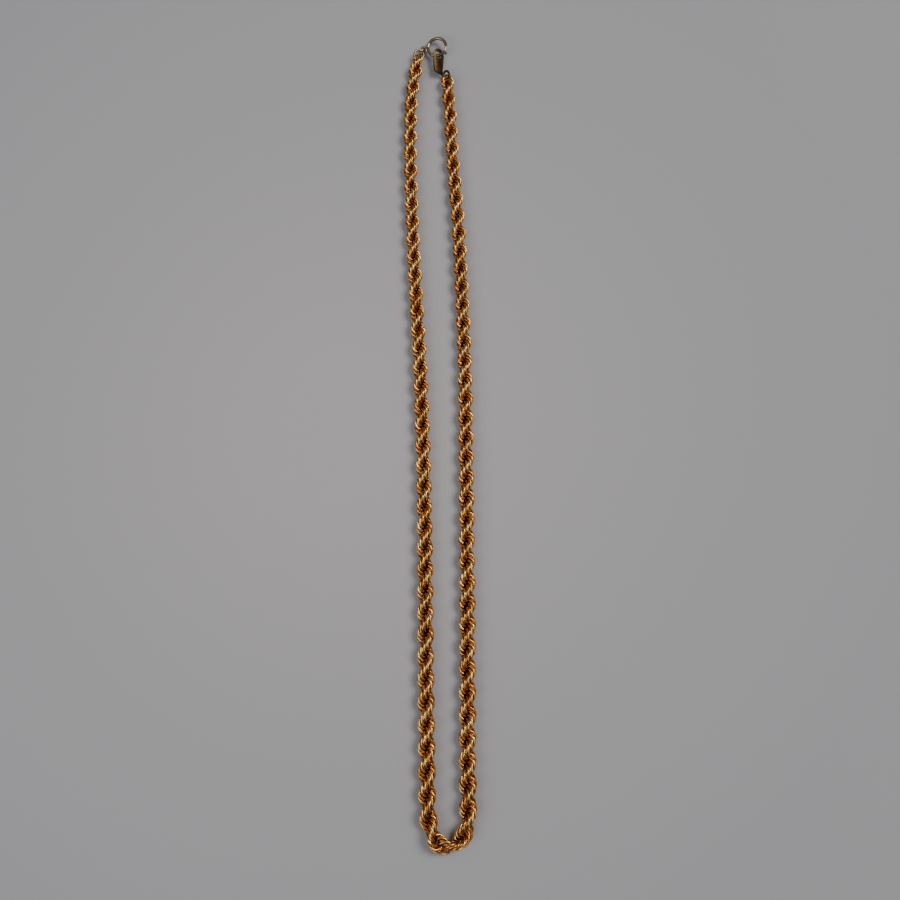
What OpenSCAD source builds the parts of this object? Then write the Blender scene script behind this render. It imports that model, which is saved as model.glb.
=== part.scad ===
// Graduated rope chain necklace with a bolt ring clasp, laid flat in a long narrow loop.
// Millimetres. X runs across the loop, Y along it towards the clasp, and Z up from the surface.

/* [Rope] */
// Length of the loop as it lies, from the tag's end of the rope to the lowest point
loop_l = 214.4; // [204:0.2:226]
// Width over the links at the two ends of the rope
rope_end_d = 3.9; // [3.5:0.1:4.3]
// Width over the links at the bottom of the loop
rope_mid_d = 5.1; // [4.4:0.1:5.6]
// Length over which each end of the rope rounds off
rope_round = 0.8; // [0.4:0.1:1.5]
// Width left at the tip of that rounding, as a share of the rope's own
rope_tip = 0.8; // [0.6:0.05:0.95]

/* [End links] */
// Outer diameter of the last link at each end of the rope
link_d = 3.2; // [3:0.05:3.4]
// Wire of the last links
link_wire_d = 0.6; // [0.5:0.05:0.65]
// How far a last link's centre stands out of the rope's end
link_reach = 0.35; // [0.3:0.05:0.5]
// Roll of the last link at the bolt ring's side about the rope
link_roll_left = -13; // [-18:1:-8]
// Roll of the last link at the tag's side about the rope
link_roll_right = 48; // [40:1:55]

/* [Bolt ring] */
// Outer diameter of the bolt ring
ring_d = 6.2; // [5.8:0.1:7]
// Diameter of the tube that it is bent from
ring_tube_d = 0.9; // [0.84:0.02:0.96]
// Bore of that tube
ring_bore_d = 0.56; // [0.5:0.02:0.6]
// Angle of the mouth's upper end, from the ring's right-hand side
mouth_from = 4; // [0:1:8]
// Angle that the mouth is wide
mouth_angle = 40; // [34:1:44]
// Tilt of the ring about Y, with its right-hand side up
ring_tilt = 12; // [8:1:15]
// Outer diameter of the eyelet soldered to the ring
eyelet_d = 2.2; // [2.1:0.05:2.4]
// Wire of the eyelet
eyelet_wire_d = 0.5; // [0.4:0.05:0.5]
// Angle of the eyelet round the ring
eyelet_angle = 186; // [183:1:190]
// How deep solder joins two round pieces
solder_depth = 0.2; // [0.1:0.02:0.24]

/* [Trigger] */
// Radial clearance of the sprung pin in the ring's bore
pin_clearance = 0.03; // [0.02:0.01:0.06]
// Angle by which the pin's tip laps into the mouth's upper end
pin_lap = 5; // [3:1:8]
// Angle of pin that stays in the ring behind the thumb knob
pin_tail = 60; // [40:1:80]
// Angle that the trigger slides back to open the mouth
trigger_travel = 33; // [28:1:34]
// Angle between the mouth's lower end and the knob's neck at rest
knob_set = 5; // [4:1:7]
// Diameter of the thumb knob's head
knob_d = 0.8; // [0.6:0.05:0.9]
// Thickness of the head
knob_t = 0.45; // [0.35:0.05:0.5]
// How far the head's centre stands from the tube's centre
knob_reach = 1.05; // [0.95:0.05:1.2]
// Width of the neck between the pin and the head
knob_neck_w = 0.36; // [0.3:0.02:0.4]
// How far the knob leans up from the ring's plane
knob_lean = 30; // [20:1:40]
// Clearance of the neck in its slot
slot_clearance = 0.06; // [0.04:0.01:0.1]

/* [Jump ring] */
// Outer diameter of the jump ring between the eyelet and the rope
jump_d = 2.6; // [2.5:0.05:2.7]
// Wire of the jump ring
jump_wire_d = 0.5; // [0.4:0.05:0.5]
// Turn of the jump ring's flat about Z
jump_turn = 155; // [150:1:160]

/* [Tag] */
// Width of the tag across its eye
tag_w = 3.7; // [3.5:0.05:3.9]
// Width of the tag at its foot
tag_foot_w = 2.7; // [2.4:0.05:3]
// Length from the eye's centre to the foot's centre
tag_l = 5.3; // [4.9:0.1:5.6]
// Thickness along the middle of the tag
tag_t = 0.6; // [0.5:0.05:0.65]
// Fall of its domed face from the middle to the edges
tag_dome = 0.25; // [0.1:0.05:0.3]
// Diameter of the eye
tag_hole_d = 2.3; // [2.2:0.05:2.4]
// Roll of the tag about its length, with its left edge up
tag_roll = 35; // [33:1:40]
// Lean of the tag in plan, with its foot to the left
tag_lean = 0; // [0:0.5:4]
// Diameter of the bead of solder between the tag and the last link
solder_bead_d = 1; // [0.9:0.05:1.2]

/* [Hidden] */
// Points that the rope's middle passes over, in plan, from the bolt ring's end to the lowest point.
// The rope's own first point lies at its last link, which is found below.
route_left = [
  [-7.2, 103], [-7.7, 99], [-8.2, 94], [-8.35, 88], [-8.35, 79], [-8.1, 69], [-7.7, 59],
  [-7.2, 48], [-6.6, 38], [-6, 28], [-5.4, 18], [-5, 8], [-4.6, -2], [-4.3, -12], [-4.1, -22], [-3.9, -32],
  [-3.8, -42], [-3.7, -52], [-3.6, -62], [-3.5, -72], [-3.3, -82], [-3.2, -92], [-3.1, -100], [-2.8, -104.5],
  [-1.9, -108.5], [0, -111], [2.4, -112]
];
// The same from the tag's end to the lowest point
route_right = [
  [2, 102.4], [2.4, 99.5], [2.7, 95], [3.2, 89], [3.7, 79], [4.5, 69], [5.3, 59], [5.9, 48], [6.4, 38], [6.8, 28],
  [7.1, 18], [7.3, 8], [7.4, -2], [7.5, -12], [7.6, -22], [7.6, -32], [7.7, -42], [7.7, -52], [7.7, -62],
  [7.7, -72], [7.7, -82], [7.7, -92], [7.8, -99], [7.8, -104.5], [6.8, -108.5], [4.8, -111], [2.4, -112]
];
// Headings of the rope's two ends, from +Y towards +X
heading_left = 14;
heading_right = -14;
// Sides of the rope's section, with a corner down so that it rests along its whole length
rope_sides = 12;
// Spans shorter than this hold a bend, and get a section half way
span_split = 6;
// Gap between a last link's feet and the rope's end
link_gap = 0.05;
// How far off the middle of the jump ring's hold each wire lies
hold_play = 0.07;
// Where the jump ring holds the eyelet and the last link, as angles round them
hold_on_eyelet = 253;
hold_on_link = 43.5;
// Place of the ring's tube in the tag's eye, off the eye's centre, and the angle round the ring there
tube_in_eye = [-0.15, -0.2];
eye_on_ring = -82;
// Radius of the foot's rounded corner, and how far the foot's edge slopes to the last link
foot_corner_r = 0.5;
foot_slope = 0.5;
// Where on the last link the tag is soldered, as an angle round it from its right-hand side
solder_angle = 150;
$fn = 64;

rope_end_r = rope_end_d / 2;
rope_mid_r = rope_mid_d / 2;
link_r = (link_d - link_wire_d) / 2;
ring_r = (ring_d - ring_tube_d) / 2;
eyelet_r = (eyelet_d - eyelet_wire_d) / 2;
jump_r = (jump_d - jump_wire_d) / 2;
pin_d = ring_bore_d - 2 * pin_clearance;
mouth_to = mouth_from - mouth_angle;
knob_angle = mouth_to - knob_set;
slot_w = knob_neck_w + 2 * slot_clearance;

// A direction in plan at an angle from +X, and a rope heading from +Y towards +X
function dir(a) = [cos(a), sin(a), 0];
function heading(a) = [sin(a), cos(a), 0];
function flat(p) = [p[0], p[1]];

// Both routes, drawn out along Y to the loop's length
drawn_l = route_right[0][1] - route_right[len(route_right) - 1][1];
function laid(route) = [for (p = route) [p[0], p[1] * loop_l / drawn_l]];
laid_left = laid(route_left);
laid_right = laid(route_right);

// The right-hand last link, the tag soldered to it, and the bolt ring through the tag's eye
end_right = [laid_right[0][0], laid_right[0][1], rope_end_r];
link_right_at = end_right + (link_reach + link_gap) * heading(heading_right);
solder_at = link_right_at + link_point(heading_right, link_roll_right, solder_angle);
foot_at = solder_at - tag_vector(tag_foot_w / 2 + foot_corner_r / 2, -foot_slope);
eye_at = foot_at + tag_vector(0, tag_l);
ring_at = eye_at + tag_vector(tube_in_eye[0], tube_in_eye[1]) - ring_point(ring_r, eye_on_ring);

// The eyelet on the bolt ring, the jump ring through it, and the left-hand last link
eyelet_out = ring_d / 2 + eyelet_d / 2 - solder_depth;
eyelet_at = ring_at + ring_point(eyelet_out, eyelet_angle);
eyelet_hold = eyelet_at + ring_point(eyelet_r + hold_play, hold_on_eyelet);
link_left_z = rope_end_r;
jump_at = [eyelet_hold[0], eyelet_hold[1], (eyelet_hold[2] + link_left_z) / 2];
link_left_flat = flat(jump_at) - (link_r + hold_play) * flat(dir(hold_on_link));
link_left_at = [link_left_flat[0], link_left_flat[1], link_left_z];
end_left = link_left_at - (link_reach + link_gap) * heading(heading_left);

// Points and directions in the tilted planes of the ring, the tag and a last link
function ring_point(r, a) = [r * cos(a) * cos(ring_tilt), r * sin(a), r * cos(a) * sin(ring_tilt)];
function tag_vector(u, v) =
  [u * cos(tag_roll) * cos(tag_lean) + v * sin(tag_lean),
   v * cos(tag_lean) - u * cos(tag_roll) * sin(tag_lean),
   -u * sin(tag_roll)];
function link_point(h, roll, a) =
  link_r * (cos(a) * (cos(roll) * dir(-h) + [0, 0, sin(roll)]) + sin(a) * heading(h));

// A smooth curve through a list of points, with two steps to each span
function spline(p, i, t) =
  let (a = p[max(i - 1, 0)], b = p[i], c = p[i + 1], d = p[min(i + 2, len(p) - 1)])
  (2 * b + (c - a) * t + (2 * a - 5 * b + 4 * c - d) * t * t + (3 * b - a - 3 * c + d) * t * t * t) / 2;
function curve(p) = concat(
  [for (i = [0 : len(p) - 2]) for (t = [0, 0.5])
      if (t == 0 || norm(p[i + 1] - p[i]) < span_split) spline(p, i, t)],
  [p[len(p) - 1]]);
// Length along a list of points up to each one
function lengths(p, i = 0, sum = 0) =
  i >= len(p) - 1 ? [sum] : concat([sum], lengths(p, i + 1, sum + norm(p[i + 1] - p[i])));

// One half of the rope: a tube that widens from its end to the bottom of the loop and rests on the surface.
// The last section lies across X, so that the two halves meet face to face. foot_way is 1 where the
// half runs towards +X there, and -1 where it runs towards -X.
module rope_half(route, h, foot_way) {
  line = curve(route);
  last = len(line) - 1;
  along = lengths(line);
  total = along[last];
  start = line[0];
  path = concat([start, start - rope_round * flat(heading(h))], [for (i = [1 : last]) line[i]]);
  share = concat([0, rope_round / total], [for (i = [1 : last]) along[i] / total]);
  radius = [for (s = share) rope_end_r + (rope_mid_r - rope_end_r) * s];
  size = [for (i = [0 : len(path) - 1]) i == 0 ? rope_tip : 1];
  n = len(path) - 1;
  tangent = [for (i = [0 : n])
    i <= 1 ? -flat(heading(h)) : i == n ? [foot_way, 0]
    : (path[i + 1] - path[i - 1]) / norm(path[i + 1] - path[i - 1])];
  points = [for (i = [0 : n]) for (k = [0 : rope_sides - 1])
    let (a = 360 * k / rope_sides - 90, r = radius[i] * size[i], side = [-tangent[i][1], tangent[i][0]])
    [path[i][0] + r * cos(a) * side[0], path[i][1] + r * cos(a) * side[1], radius[i] + r * sin(a)]];
  walls = [for (i = [0 : n - 1]) for (k = [0 : rope_sides - 1])
    let (j = (k + 1) % rope_sides, p = i * rope_sides, q = p + rope_sides)
    [p + k, q + k, q + j, p + j]];
  first_cap = [for (k = [0 : rope_sides - 1]) k];
  last_cap = [for (k = [rope_sides - 1 : -1 : 0]) n * rope_sides + k];
  polyhedron(points, concat([first_cap], walls, [last_cap]));
}

// Stands what is drawn in the XY plane at a rope's last link, rolled about the rope
module at_link(at, h, roll) {
  translate(at) rotate([0, 0, -h]) rotate([0, -roll, 0]) children();
}

// Stands what is drawn in the XY plane in the bolt ring's tilted plane
module at_ring() {
  translate(ring_at) rotate([0, -ring_tilt, 0]) children();
}

// A round wire bent to an arc
module wire_arc(r, wire_d, from, angle) {
  rotate([0, 0, from]) rotate_extrude(angle = angle) translate([r, 0]) circle(d = wire_d);
}

// The half of the last link that stands out of the rope, on two straight feet
module last_link() {
  wire_arc(link_r, link_wire_d, 0, 180);
  for (side = [-1, 1])
    translate([side * link_r, 0, 0]) rotate([90, 0, 0]) cylinder(d = link_wire_d, h = link_reach);
}

module rope_left() {
  color("goldenrod") rope_half(concat([flat(end_left)], laid_left), heading_left, 1);
}

module rope_right() {
  color("goldenrod") rope_half(laid_right, heading_right, -1);
}

module end_link() {
  color("goldenrod") at_link(link_left_at, heading_left, link_roll_left) last_link();
}

module jump_ring() {
  color("darkgoldenrod") translate(jump_at) rotate([90, 0, jump_turn + 90]) wire_arc(jump_r, jump_wire_d, 0, 360);
}

// Hollow ring with a mouth, a slot for the knob's neck, and the soldered eyelet
module bolt_ring() {
  color("burlywood") at_ring() difference() {
    union() {
      wire_arc(ring_r, ring_tube_d, mouth_from, 360 - mouth_angle);
      translate([eyelet_out * cos(eyelet_angle), eyelet_out * sin(eyelet_angle), 0])
        wire_arc(eyelet_r, eyelet_wire_d, 0, 360);
    }
    wire_arc(ring_r, ring_bore_d, 0, 360);
    knob_slot();
  }
}

// The slot runs from the mouth back past the neck's furthest place
module knob_slot() {
  neck_angle = asin((knob_neck_w / 2 + slot_clearance) / ring_r);
  slot_angle = knob_set + trigger_travel + neck_angle;
  rotate([0, 0, mouth_to - slot_angle]) rotate_extrude(angle = slot_angle + knob_set)
    translate([ring_r, 0]) rotate(knob_lean) translate([0, -slot_w / 2]) square([ring_tube_d, slot_w]);
}

// Curved pin that closes the mouth, with its thumb knob
module trigger() {
  pin_from = knob_angle - pin_tail;
  pin_angle = mouth_from + pin_lap - pin_from;
  color("tan") at_ring() union() {
    wire_arc(ring_r, pin_d, pin_from, pin_angle);
    rotate([0, 0, knob_angle]) translate([ring_r, 0, 0]) rotate([0, -knob_lean, 0]) {
      translate([0, -knob_neck_w / 2, -knob_neck_w / 2]) cube([knob_reach, knob_neck_w, knob_neck_w]);
      translate([knob_reach, 0, -knob_t / 2]) cylinder(d = knob_d, h = knob_t);
    }
  }
}

// Outline of the tag in its own plane, with the eye at the origin and the foot down
module tag_outline() {
  circle(d = tag_w);
  polygon([
    [-tag_w / 2, 0], [-tag_foot_w / 2, foot_corner_r - tag_l], [-tag_foot_w / 2 + foot_corner_r, -tag_l],
    [tag_foot_w / 2, -tag_l - foot_slope], [tag_foot_w / 2, -tag_l + foot_slope], [tag_w / 2, 0]
  ]);
  translate([-tag_foot_w / 2 + foot_corner_r, foot_corner_r - tag_l]) circle(foot_corner_r);
}

// Domed plate with its eye
module tag_plate() {
  dome_r = (tag_w * tag_w / 4 + tag_dome * tag_dome) / (2 * tag_dome);
  intersection() {
    translate([0, 0, -tag_t / 2]) linear_extrude(tag_t) difference() {
      tag_outline();
      circle(d = tag_hole_d);
    }
    translate([0, tag_w, tag_t / 2 - dome_r]) rotate([90, 0, 0]) cylinder(r = dome_r, h = tag_l + 2 * tag_w);
  }
}

// Tag soldered to the last link at the other end of the rope
module tag() {
  color("peru") union() {
    translate(eye_at) rotate([0, 0, -tag_lean]) rotate([0, tag_roll, 0]) tag_plate();
    translate(solder_at) sphere(d = solder_bead_d);
    at_link(link_right_at, heading_right, link_roll_right) last_link();
  }
}

rope_left();
rope_right();
end_link();
jump_ring();
bolt_ring();
trigger();
tag();
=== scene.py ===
import math

import bpy
import numpy as np
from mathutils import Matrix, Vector


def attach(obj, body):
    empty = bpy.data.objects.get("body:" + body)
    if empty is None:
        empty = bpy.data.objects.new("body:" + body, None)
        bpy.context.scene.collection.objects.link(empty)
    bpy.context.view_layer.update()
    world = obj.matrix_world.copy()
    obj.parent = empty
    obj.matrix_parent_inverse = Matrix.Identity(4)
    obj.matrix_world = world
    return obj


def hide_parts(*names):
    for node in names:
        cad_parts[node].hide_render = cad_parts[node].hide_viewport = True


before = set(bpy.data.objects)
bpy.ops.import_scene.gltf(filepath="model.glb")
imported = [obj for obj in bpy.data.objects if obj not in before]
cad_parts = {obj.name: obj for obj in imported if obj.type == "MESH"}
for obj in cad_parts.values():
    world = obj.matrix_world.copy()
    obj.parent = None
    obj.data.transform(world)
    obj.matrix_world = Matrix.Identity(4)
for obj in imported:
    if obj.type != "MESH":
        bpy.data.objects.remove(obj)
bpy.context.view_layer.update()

MM = 0.001
SEED = 5

# The rope's middle in plan, in millimetres, from each end to the lowest point of the loop
ROUTE_LEFT = [
    (-6.02, 108.83), (-7.2, 103), (-7.7, 99), (-8.2, 94), (-8.35, 88), (-8.35, 79), (-8.1, 69),
    (-7.7, 59), (-7.2, 48), (-6.6, 38), (-6, 28), (-5.4, 18), (-5, 8), (-4.6, -2), (-4.3, -12),
    (-4.1, -22), (-3.9, -32), (-3.8, -42), (-3.7, -52), (-3.6, -62), (-3.5, -72), (-3.3, -82),
    (-3.2, -92), (-3.1, -100), (-2.8, -104.5), (-1.9, -108.5), (0, -111), (2.4, -112),
]
ROUTE_RIGHT = [
    (2, 102.4), (2.4, 99.5), (2.7, 95), (3.2, 89), (3.7, 79), (4.5, 69), (5.3, 59), (5.9, 48),
    (6.4, 38), (6.8, 28), (7.1, 18), (7.3, 8), (7.4, -2), (7.5, -12), (7.6, -22), (7.6, -32),
    (7.7, -42), (7.7, -52), (7.7, -62), (7.7, -72), (7.7, -82), (7.7, -92), (7.8, -99),
    (7.8, -104.5), (6.8, -108.5), (4.8, -111), (2.4, -112),
]
# The rope's width at its ends and at the lowest point
ROPE_END_D = 3.9
ROPE_MID_D = 5.1
# Points on the smooth curve from one point of the route to the next
STEPS_PER_SPAN = 40

# The weave. Turning half round takes LOBE times the rope's width, and this many links of a strand.
LOBE = 1.23
LINKS_IN_LOBE = 6.5
# A link's middle off the axis in link radii, its lean in degrees, its wire over the rope's width
OFF_AXIS = 0.124
LEAN = 7.3
WIRE = 0.125
# Each link is an open ring. Its gap straddles a neighbour's wire, out of sight.
GAP_AT = 263
GAP = 56
# In the tight bend, between these places, the links are set wider apart, and their wire is thinner
# by this share, to keep clear of one another
BEND_FROM = 203
BEND_TO = 245
BEND_EASE = 8
BEND_STRETCH = 0.5
BEND_THIN = 0.08
# Slow drifts of the turn and the lean in degrees, and over how many links
TWIST_WANDER = 3
TWIST_EVERY = 9
LEAN_WANDER = 1
LEAN_EVERY = 6
# Each link's mesh: places along its wire and sides round it
LINK_STEPS = 27
WIRE_SIDES = 10

# How far from the rope's ends its first and last links lie, and how far round the first one is
FIRST_LINK = 0.89
FINAL_LINK = 0.7
FIRST_TURN = 208.55
# The CAD's last links, which the rope's links run through: the rope's end, its heading, the roll
END_LEFT = ((-6.024, 108.832, 1.95), 14, -13)
END_RIGHT = ((2, 102.4, 1.95), -14, 48)
# The CAD holds each one's outer half, whose feet start this far beyond the rope's end. The inner
# half's radius, its wire, and its mesh's places along the bow and sides round it
END_GAP = 0.05
END_LINK_R = 1.3
END_WIRE = 0.6
END_STEPS = 21
END_SIDES = 16

# Links are moved apart in small steps until their wires keep this gap. Each one can reach as many
# neighbours as this, to each side. NEVER_PARALLEL, a little over 1, keeps a division by the angle
# between two wires safe.
KEEP_GAP = 0.02
NEIGHBOURS = 12
SETTLE_STEPS = 27
SETTLE_SPEED = 0.35
NEVER_PARALLEL = 1.02
ALL_ROUNDS = 25
BEND_ROUNDS = 150
# The links at each end that are settled again, round the clasp's points within this reach
END_ROUNDS = 70
END_LINKS = 14
END_REACH = 2.4

# Each light's direction, its distance and size in metres, its watts and its colour
LIGHTS = {
    "key": ((0.5, 0.3, 0.82), 1.6, 0.75, 14, (1, 0.97, 0.92)),
    "fill": ((-0.6, -0.4, 0.7), 1.2, 0.9, 4, (0.96, 0.97, 1)),
}
# Colour ramps as rows of place and colour: the studio's light from low to high, and the surface
# with its painted pool of light, from far away to its brightest place
WORLD_RAMP = ((0.1, (0.2, 0.2, 0.205)), (0.8, (0.64, 0.66, 0.70)))
WORLD_STRENGTH = 0.47
SURFACE_RAMP = ((0.2, (0.385, 0.382, 0.398)), (0.9, (0.478, 0.458, 0.468)))
SURFACE_HALF = 3
# The painted pool of light's brightest place lies left of the loop's middle by this part of its
# radius, and so many of its radii go into a metre
PAINTED_LIGHT_SHIFT = 0.15
PAINTED_LIGHT_PER_METRE = 5
# The camera's place in metres, its tilt off straight down in degrees, its lens in millimetres
CAMERA_AT = (0.00302, -0.0384, 0.2861)
CAMERA_TILT = 6.5
CAMERA_LENS = 41.3

# Each gold's deep and bright tones, its roughness and the strength of its dents
ROPE_GOLD = ((0.56, 0.23, 0.045), (1.0, 0.66, 0.24), 0.22, 0.2)
CLASP_GOLD = ((0.2, 0.14, 0.08), (0.55, 0.43, 0.28), 0.12, 0.1)
TAG_GOLD = ((0.085, 0.048, 0.019), (0.18, 0.105, 0.048), 0.3, 0.35)
LINK_GOLD = ((0.13, 0.09, 0.04), (0.34, 0.25, 0.13), 0.2, 0.2)
# Noise scales of the patches of tone, the smears and the dents, how far the smears lower and
# raise the roughness, and how deep the dents are in metres
TONE_NOISE = 700
SMEAR_NOISE = 1800
SMEAR = (-0.07, 0.09)
DENT_NOISE = 1500
DENT_DEPTH = 0.00006
# How much the rope's gold changes from link to link, and what is taken off to keep its mean
LINK_TONE = 0.35
LINK_TONE_MEAN = 0.17
# Painted shade: deep in the rope the gold darkens towards this reddish shade colour, save for
# this share. From the first to the second of these depths it turns into its own again: 0 is the
# rope's axis, 1 its surface.
PAINTED_SHADE = (0.5, 0.155, 0.032)
PAINTED_SHADE_LEAVES = 0.2
PAINTED_SHADE_DEPTHS = (0.35, 0.95)


def catmull(p, i, t):
    """A point on the smooth curve through p, t of the way from p[i] to p[i + 1]."""
    near = (min(max(j, 0), len(p) - 1) for j in (i - 1, i, i + 1, i + 2))
    a, b, c, d = (np.array(p[j], float) for j in near)
    square, cube = 2 * a - 5 * b + 4 * c - d, 3 * b - a - 3 * c + d
    return (2 * b + (c - a) * t + square * t**2 + cube * t**3) / 2


def centre_line():
    """Points along the rope's middle in plan, from the left end to the right, and their lengths."""
    route = ROUTE_LEFT + ROUTE_RIGHT[-2::-1]
    shares = [t / STEPS_PER_SPAN for t in range(STEPS_PER_SPAN)]
    points = [catmull(route, i, t) for i in range(len(route) - 1) for t in shares]
    points = np.array(points + [route[-1]])
    length = np.concatenate([[0], np.cumsum(np.linalg.norm(np.diff(points, axis=0), axis=1))])
    return points, length


POINTS, LENGTH = centre_line()
TOTAL = LENGTH[-1]
LOWEST = LENGTH[(len(ROUTE_LEFT) - 1) * STEPS_PER_SPAN]
HEADINGS = np.unwrap(np.arctan2(*np.gradient(POINTS, axis=0)[:, ::-1].T))
BENDS = np.abs(np.gradient(HEADINGS) / np.gradient(LENGTH))


def at(values, s):
    """Values known at POINTS, read at lengths s along the rope."""
    return np.interp(s, LENGTH, values)


def share_to_middle(s):
    """0 at the rope's ends, 1 at the lowest point of the loop."""
    return np.where(s < LOWEST, s / LOWEST, (TOTAL - s) / (TOTAL - LOWEST))


def rope_width(s):
    return ROPE_END_D + (ROPE_MID_D - ROPE_END_D) * share_to_middle(s)


def link_places():
    """Where each link lies along the rope, and how far round it."""
    places, turns = [FIRST_LINK], [math.radians(FIRST_TURN)]
    while places[-1] < TOTAL - FINAL_LINK:
        s = places[-1]
        width = rope_width(s)
        stretch = 1 + BEND_STRETCH * at(BENDS, s) * width / 2
        places.append(s + LOBE * width / (2 * LINKS_IN_LOBE) * stretch)
        turns.append(turns[-1] + math.pi + math.pi / (2 * LINKS_IN_LOBE))
    return np.array(places[:-1]), np.array(turns[:-1])


def wander(count, amount, every, seed):
    """A slow random drift, one value for each link."""
    knots = np.random.default_rng(seed).uniform(-1, 1, count // every + 3)
    x = np.arange(count) / every
    i = x.astype(int)
    t = x - i
    t = t * t * (3 - 2 * t)
    return amount * (knots[i] * (1 - t) + knots[i + 1] * t)


def link_frames(places, turns):
    """Each link's centre, its outward, long and face directions, its radius and its wire."""
    count = len(places)
    turns = turns + np.radians(wander(count, TWIST_WANDER, TWIST_EVERY, SEED))
    width = rope_width(places)
    lean = np.radians(LEAN + wander(count, LEAN_WANDER, LEAN_EVERY, SEED + 1))
    wire = WIRE * width
    radius = (width - wire) / (2 * (OFF_AXIS + 1))
    in_bend = np.clip(np.minimum(places - BEND_FROM, BEND_TO - places) / BEND_EASE, 0, 1)
    wire = wire * (1 - BEND_THIN * in_bend)
    heading = at(HEADINGS, places)
    ahead = np.stack([np.cos(heading), np.sin(heading), np.zeros(count)], 1)
    side = np.stack([-np.sin(heading), np.cos(heading), np.zeros(count)], 1)
    up = np.array([[0.0, 0.0, 1.0]])
    out = np.cos(turns)[:, None] * side + np.sin(turns)[:, None] * up
    round_way = -np.sin(turns)[:, None] * side + np.cos(turns)[:, None] * up
    along = np.cos(lean)[:, None] * ahead - np.sin(lean)[:, None] * round_way
    middle = np.stack([at(POINTS[:, 0], places), at(POINTS[:, 1], places), width / 2], 1)
    centre = middle + (OFF_AXIS * radius)[:, None] * out
    return dict(
        centre=centre, across=out, along=along, face=np.cross(out, along),
        radius=radius, wire=wire, middle=middle, ahead=ahead, width=width,
    )


def wire_lines(f, steps):
    """The middle of every link's wire, as links by steps, and the way there from its centre."""
    t = np.linspace(GAP_AT + GAP / 2, GAP_AT + 360 - GAP / 2, steps)
    t = np.radians(t)[None, :, None]
    normal = np.cos(t) * f["across"][:, None, :] + np.sin(t) * f["along"][:, None, :]
    return f["centre"][:, None, :] + f["radius"][:, None, None] * normal, normal


def nearest(line, tangent, others, other_tangent, least, step):
    """For each row, the places on the line and on the others that are nearest, and the push that
    parts them. Between its samples each line runs straight, no further than its ends.
    """
    way = line[:, :, None, :] - others[:, None, :, :]
    rows = np.arange(len(line))
    room = (way * way).sum(3) - least**2
    i, j = np.divmod(room.reshape(len(line), -1).argmin(1), others.shape[1])
    way, mine, theirs = way[rows, i, j], tangent[rows, i], other_tangent[rows, j]
    b, d, e = (mine * theirs).sum(1), (mine * way).sum(1), (theirs * way).sum(1)
    angle = NEVER_PARALLEL - b * b
    last_i, last_j = line.shape[1] - 1, others.shape[1] - 1
    along_mine = np.clip((b * e - d) / angle, -step * (i > 0), step * (i < last_i))
    along_theirs = np.clip((e - b * d) / angle, -step * (j > 0), step * (j < last_j))
    way = way + along_mine[:, None] * mine - along_theirs[:, None] * theirs
    far = np.linalg.norm(way, axis=1)
    wanted = np.broadcast_to(least, (len(line), 1, others.shape[1]))[rows, 0, j]
    return i, j, way * (np.maximum(wanted - far, 0) / far)[:, None]


def settle(f, first, last, rounds, solids=None):
    """Moves and turns the links from first to last in rounds of small steps, so that their wires
    clear one another, the solids, the surface and the height of the rope.
    """
    lo, hi = max(first - NEIGHBOURS, 0), min(last + NEIGHBOURS, len(f["wire"]))
    part = {key: values[lo:hi].copy() for key, values in f.items()}
    rows = np.arange(hi - lo)
    free = ((rows + lo >= first) & (rows + lo < last))[:, None] * SETTLE_SPEED
    half = part["wire"] / 2
    step = part["radius"].max() * math.radians(360 - GAP) / (SETTLE_STEPS - 1) / 2
    for _ in range(rounds):
        line, normal = wire_lines(part, SETTLE_STEPS)
        tangent = np.cross(part["face"][:, None, :], normal)
        moves, turns = np.zeros((len(rows), 3)), np.zeros((len(rows), 3))

        def push(which, place, way):
            arm = line[which, place] - part["centre"][which]
            moves[which] += way
            turns[which] += np.cross(arm, way) / (part["radius"][which] ** 2)[:, None]

        for j in range(1, NEIGHBOURS + 1):
            least = (half[j:] + half[:-j] + KEEP_GAP)[:, None, None]
            mine, theirs, way = nearest(line[j:], tangent[j:], line[:-j], tangent[:-j], least, step)
            push(rows[j:], mine, way / 2)
            push(rows[:-j], theirs, -way / 2)
        if solids is not None:
            points, thick = solids
            others = np.broadcast_to(points, (len(rows), *points.shape))
            least = half[:, None, None] + thick[None, None, :] + KEEP_GAP
            mine, _theirs, way = nearest(line, tangent, others, np.zeros_like(others), least, step)
            push(rows, mine, way)
        for place, room in (
            (line[:, :, 2].argmin(1), lambda z: np.maximum(half + KEEP_GAP / 2 - z, 0)),
            (line[:, :, 2].argmax(1), lambda z: np.minimum(part["width"] - half - z, 0)),
        ):
            push(rows, place, room(line[rows, place, 2])[:, None] * np.array([0.0, 0.0, 1.0]))
        part["centre"] = part["centre"] + moves * free
        turns = turns * free
        out = part["across"] + np.cross(turns, part["across"])
        along = part["along"] + np.cross(turns, part["along"])
        out /= np.linalg.norm(out, axis=1, keepdims=True)
        face = np.cross(out, along)
        face /= np.linalg.norm(face, axis=1, keepdims=True)
        part.update(across=out, face=face, along=np.cross(face, out))
    return {key: np.concatenate([f[key][:lo], part[key], f[key][hi:]]) for key in f}


def end_link_line(end):
    """The inner half of a last link, from one foot round through the rope to the other, and the
    direction that it faces.
    """
    (x, y, z), heading, roll = end
    h, r = math.radians(heading), math.radians(roll)
    outward = np.array([math.sin(h), math.cos(h), 0.0])
    level = np.array([math.cos(h), -math.sin(h), 0.0])
    across = math.cos(r) * level + np.array([0.0, 0.0, math.sin(r)])
    foot = END_GAP / END_LINK_R
    bow = [(math.cos(a), -math.sin(a)) for a in np.linspace(0, math.pi, END_STEPS)]
    plan = END_LINK_R * np.array([(1, foot)] + bow + [(-1, foot)])
    line = np.array([x, y, z]) + plan[:, :1] * across + plan[:, 1:] * outward
    return line, np.cross(across, outward)


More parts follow.
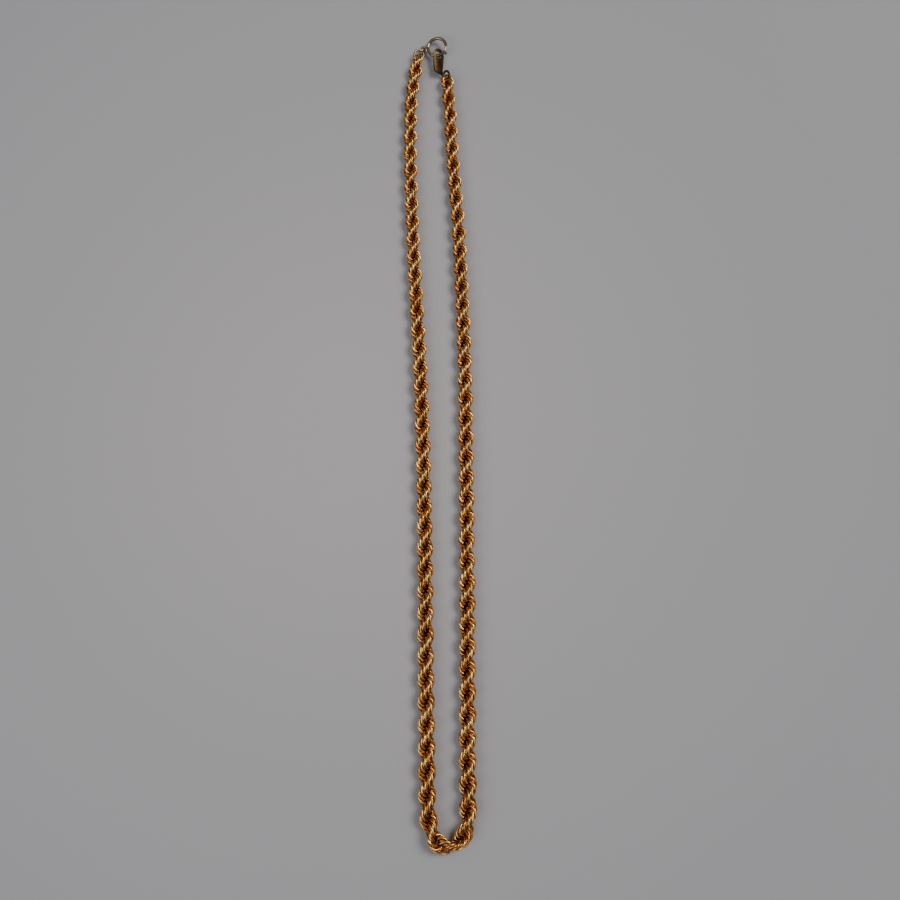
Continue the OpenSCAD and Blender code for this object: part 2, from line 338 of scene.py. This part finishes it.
def link_vertices(f):
    """Vertices of every link's wire, as links by steps by sides, and how far out in the rope each
    one lies: 0 on its axis, 1 at its surface.
    """
    a = np.linspace(0, 2 * math.pi, WIRE_SIDES, endpoint=False)
    line, normal = wire_lines(f, LINK_STEPS)
    half = (f["wire"] / 2)[:, None, None, None]
    face = f["face"][:, None, None, :]
    a = a[None, None, :, None]
    points = line[:, :, None, :] + half * (np.cos(a) * normal[:, :, None, :] + np.sin(a) * face)
    rel = points - f["middle"][:, None, None, :]
    ahead = f["ahead"][:, None, None, :]
    rel = rel - (rel * ahead).sum(3, keepdims=True) * ahead
    depth = np.linalg.norm(rel, axis=3) / (f["width"] / 2)[:, None, None]
    return points, depth


def wire_faces(first, steps, sides):
    """Faces of a wire from its first vertex on: quads along it, and a cap at each end."""
    faces = []
    pairs = [(j, (j + 1) % sides) for j in range(sides)]
    for i in range(steps - 1):
        p, q = first + i * sides, first + (i + 1) * sides
        faces += [(p + j, q + j, q + k, p + k) for j, k in pairs]
    last = first + (steps - 1) * sides
    caps = range(first, first + sides), range(last + sides - 1, last - 1, -1)
    return faces + [tuple(cap) for cap in caps]


def link_faces(count):
    """Faces of all the links' wires."""
    size = LINK_STEPS * WIRE_SIDES
    wires = (wire_faces(link * size, LINK_STEPS, WIRE_SIDES) for link in range(count))
    return [face for wire in wires for face in wire]


def make_mesh(name, points, faces, layers=()):
    """A smooth mesh object from arrays in millimetres, with float layers on its vertices."""
    mesh = bpy.data.meshes.new(name)
    mesh.from_pydata((points.reshape(-1, 3) * MM).tolist(), [], faces)
    for layer, values in layers:
        data = mesh.attributes.new(layer, "FLOAT", "POINT").data
        data.foreach_set("value", values.astype(np.float32).ravel())
    mesh.shade_smooth()
    obj = bpy.data.objects.new(name, mesh)
    bpy.context.scene.collection.objects.link(obj)
    return obj


def solids_at(end, names):
    """Points of the named CAD nodes near an end of the rope, and of the last link's inner half,
    with the radius of what each one stands for.
    """
    nodes = [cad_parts[name] for name in names]
    points = [node.matrix_world @ vertex.co for node in nodes for vertex in node.data.vertices]
    points = np.array(points) / MM
    points = points[np.linalg.norm(points - np.array(end[0]), axis=1) < END_REACH]
    line, _face = end_link_line(end)
    radii = np.repeat([0, END_WIRE / 2], [len(points), len(line)])
    return np.concatenate([points, line]), radii


def settled(places, turns):
    """The links' frames once they are clear of one another, of the last links and of the clasp."""
    frames = link_frames(places, turns)
    count = len(places)
    frames = settle(frames, 0, count, ALL_ROUNDS)
    frames = settle(frames, *np.searchsorted(places, (BEND_FROM, BEND_TO)), BEND_ROUNDS)
    left = solids_at(END_LEFT, ("end_link", "jump_ring"))
    frames = settle(frames, 0, END_LINKS, END_ROUNDS, left)
    right = solids_at(END_RIGHT, ("tag",))
    return settle(frames, count - END_LINKS, count, END_ROUNDS, right)


def make_end_half(name, end, gold):
    """The inner half of a last link, which the rope's links run through."""
    line, face = end_link_line(end)
    tangent = np.gradient(line, axis=0)
    tangent /= np.linalg.norm(tangent, axis=1, keepdims=True)
    a = np.linspace(0, 2 * math.pi, END_SIDES, endpoint=False)[None, :, None]
    ring = np.cos(a) * np.cross(tangent, face)[:, None] - np.sin(a) * face
    points = line[:, None] + END_WIRE / 2 * ring
    piece = make_mesh(name, points, wire_faces(0, len(line), END_SIDES))
    piece.data.materials.append(gold)
    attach(piece, "chain")


def make_strands(gold):
    """The two strands of links, each in a left and a right half."""
    places, turns = link_places()
    frames = settled(places, turns)
    points, depth = link_vertices(frames)
    tone = np.random.default_rng(SEED + 2).uniform(0, 1, len(places))
    tone = np.broadcast_to(tone[:, None, None], depth.shape)
    left = places < LOWEST
    for half, node, chosen in (("left", "rope_left", left), ("right", "rope_right", ~left)):
        for strand, rest in (("a", 0), ("b", 1)):
            pick = chosen & (np.arange(len(places)) % 2 == rest)
            name, faces = f"strand_{strand}_{half}", link_faces(pick.sum())
            layers = (("depth", depth[pick]), ("tone", tone[pick]))
            piece = make_mesh(name, points[pick], faces, layers)
            piece.data.materials.append(gold)
            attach(piece, "chain")
            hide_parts(node)


def node_tools(name):
    """A new node material, a function that adds a node to it, one that links, and its shader."""
    material = bpy.data.materials.new(name)
    material.use_nodes = True
    tree = material.node_tree
    shader = tree.nodes["Principled BSDF"]

    def add(kind, **values):
        node = tree.nodes.new(kind)
        for key, value in values.items():
            if hasattr(node, key):
                setattr(node, key, value)
            else:
                node.inputs[key.replace("_", " ")].default_value = value
        return node

    return material, add, tree.links.new, shader


def ramp(node, stops):
    """Fills a colour ramp's two stops with rows of place and colour."""
    for element, (place, colour) in zip(node.color_ramp.elements, stops):
        element.position = place
        element.color = (*colour, 1)


def gold_material(name, look, layered=False):
    """Polished gold with fine scratches and small dents from wear. Layered gold changes tone from
    link to link and has painted shade deep in the rope.
    """
    deep, bright, rough, dent = look
    material, add, link, shader = node_tools(name)
    shader.inputs["Metallic"].default_value = 1
    place = add("ShaderNodeTexCoord").outputs["Object"]
    tone = add("ShaderNodeTexNoise", Scale=TONE_NOISE, Detail=3)
    link(place, tone.inputs["Vector"])
    colour = add("ShaderNodeValToRGB")
    ramp(colour, ((0.3, deep), (0.7, bright)))
    if layered:
        mix = add("ShaderNodeMath", operation="MULTIPLY_ADD")
        mix.inputs[1].default_value = LINK_TONE
        link(add("ShaderNodeAttribute", attribute_name="tone").outputs["Fac"], mix.inputs[0])
        shift = add("ShaderNodeMath", operation="SUBTRACT")
        shift.inputs[1].default_value = LINK_TONE_MEAN
        link(tone.outputs["Fac"], shift.inputs[0])
        link(shift.outputs[0], mix.inputs[2])
        link(mix.outputs[0], colour.inputs["Fac"])
        # Painted shade: deep in the rope the colour is mixed towards the dark shade colour
        start, end = PAINTED_SHADE_DEPTHS
        shade_share = add(
            "ShaderNodeMapRange", From_Min=start, From_Max=end, To_Min=PAINTED_SHADE_LEAVES
        )
        depth = add("ShaderNodeAttribute", attribute_name="depth")
        link(depth.outputs["Fac"], shade_share.inputs["Value"])
        dark = add("ShaderNodeMix", data_type="RGBA", blend_type="MIX")
        dark.inputs[6].default_value = (*PAINTED_SHADE, 1)
        link(shade_share.outputs["Result"], dark.inputs[0])
        link(colour.outputs["Color"], dark.inputs[7])
        link(dark.outputs[2], shader.inputs["Base Color"])
    else:
        link(tone.outputs["Fac"], colour.inputs["Fac"])
        link(colour.outputs["Color"], shader.inputs["Base Color"])
    smear = add("ShaderNodeTexNoise", Scale=SMEAR_NOISE, Detail=4)
    link(place, smear.inputs["Vector"])
    low, high = SMEAR
    roughness = add("ShaderNodeMapRange", To_Min=rough + low, To_Max=rough + high)
    link(smear.outputs["Fac"], roughness.inputs["Value"])
    link(roughness.outputs["Result"], shader.inputs["Roughness"])
    worn = add("ShaderNodeTexNoise", Scale=DENT_NOISE, Detail=5)
    link(place, worn.inputs["Vector"])
    bump = add("ShaderNodeBump", Strength=dent, Distance=DENT_DEPTH)
    link(worn.outputs["Fac"], bump.inputs["Height"])
    link(bump.outputs["Normal"], shader.inputs["Normal"])
    return material


def surface_material():
    """Plain pale grey surface with a painted pool of light, a little brighter about the loop's
    middle.
    """
    material, add, link, shader = node_tools("surface")
    # Painted light: the surface's colour is brighter about the loop's middle, a painted pool of
    # light
    place = add("ShaderNodeMapping", Location=(PAINTED_LIGHT_SHIFT, 0, 0), Scale=[PAINTED_LIGHT_PER_METRE] * 3)
    link(add("ShaderNodeTexCoord").outputs["Object"], place.inputs["Vector"])
    painted_light = add("ShaderNodeTexGradient", gradient_type="SPHERICAL")
    link(place.outputs["Vector"], painted_light.inputs["Vector"])
    colour = add("ShaderNodeValToRGB")
    ramp(colour, SURFACE_RAMP)
    link(painted_light.outputs["Fac"], colour.inputs["Fac"])
    link(colour.outputs["Color"], shader.inputs["Base Color"])
    shader.inputs["Roughness"].default_value = 0.75
    shader.inputs["Specular IOR Level"].default_value = 0.25
    return material


def make_surface():
    signs = (-1, -1), (1, -1), (1, 1), (-1, 1)
    corners = [(x * SURFACE_HALF, y * SURFACE_HALF, 0) for x, y in signs]
    mesh = bpy.data.meshes.new("surface")
    mesh.from_pydata(corners, [], [(0, 1, 2, 3)])
    surface = bpy.data.objects.new("surface", mesh)
    bpy.context.scene.collection.objects.link(surface)
    mesh.materials.append(surface_material())


def make_camera():
    """The photograph's view, from above the loop and a little off straight down."""
    data = bpy.data.cameras.new("camera")
    data.sensor_width = 36
    data.lens = CAMERA_LENS
    data.clip_start = 0.01
    data.clip_end = 10
    camera = bpy.data.objects.new("camera", data)
    camera.location = CAMERA_AT
    camera.rotation_euler = (math.radians(CAMERA_TILT), 0, 0)
    bpy.context.scene.collection.objects.link(camera)
    bpy.context.scene.camera = camera


def area_light(name, towards, distance, size, power, colour):
    data = bpy.data.lights.new(name, "AREA")
    data.shape = "DISK"
    data.size = size
    data.energy = power
    data.color = colour
    light = bpy.data.objects.new(name, data)
    way = Vector(towards).normalized()
    light.location = way * distance
    light.rotation_euler = way.to_track_quat("Z", "Y").to_euler()
    bpy.context.scene.collection.objects.link(light)


def make_light():
    for name, light in LIGHTS.items():
        area_light(name, *light)
    world = bpy.data.worlds.new("studio")
    bpy.context.scene.world = world
    world.use_nodes = True
    tree = world.node_tree
    place = tree.nodes.new("ShaderNodeTexCoord")
    height = tree.nodes.new("ShaderNodeSeparateXYZ")
    sky = tree.nodes.new("ShaderNodeValToRGB")
    ramp(sky, WORLD_RAMP)
    tree.links.new(place.outputs["Generated"], height.inputs[0])
    tree.links.new(height.outputs["Z"], sky.inputs["Fac"])
    background = tree.nodes["Background"].inputs
    tree.links.new(sky.outputs["Color"], background["Color"])
    background["Strength"].default_value = WORLD_STRENGTH


make_camera()
make_surface()
make_light()
make_strands(gold_material("rope_gold", ROPE_GOLD, layered=True))
CLASP = gold_material("clasp_gold", CLASP_GOLD)
TAG = gold_material("tag_gold", TAG_GOLD)
LINK = gold_material("link_gold", LINK_GOLD)
LOOKS = {"end_link": LINK, "jump_ring": CLASP, "bolt_ring": CLASP, "trigger": CLASP, "tag": TAG}
for node, look in LOOKS.items():
    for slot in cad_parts[node].material_slots:
        slot.material = look
make_end_half("end_link_inner", END_LEFT, LINK)
make_end_half("tag_link_inner", END_RIGHT, TAG)
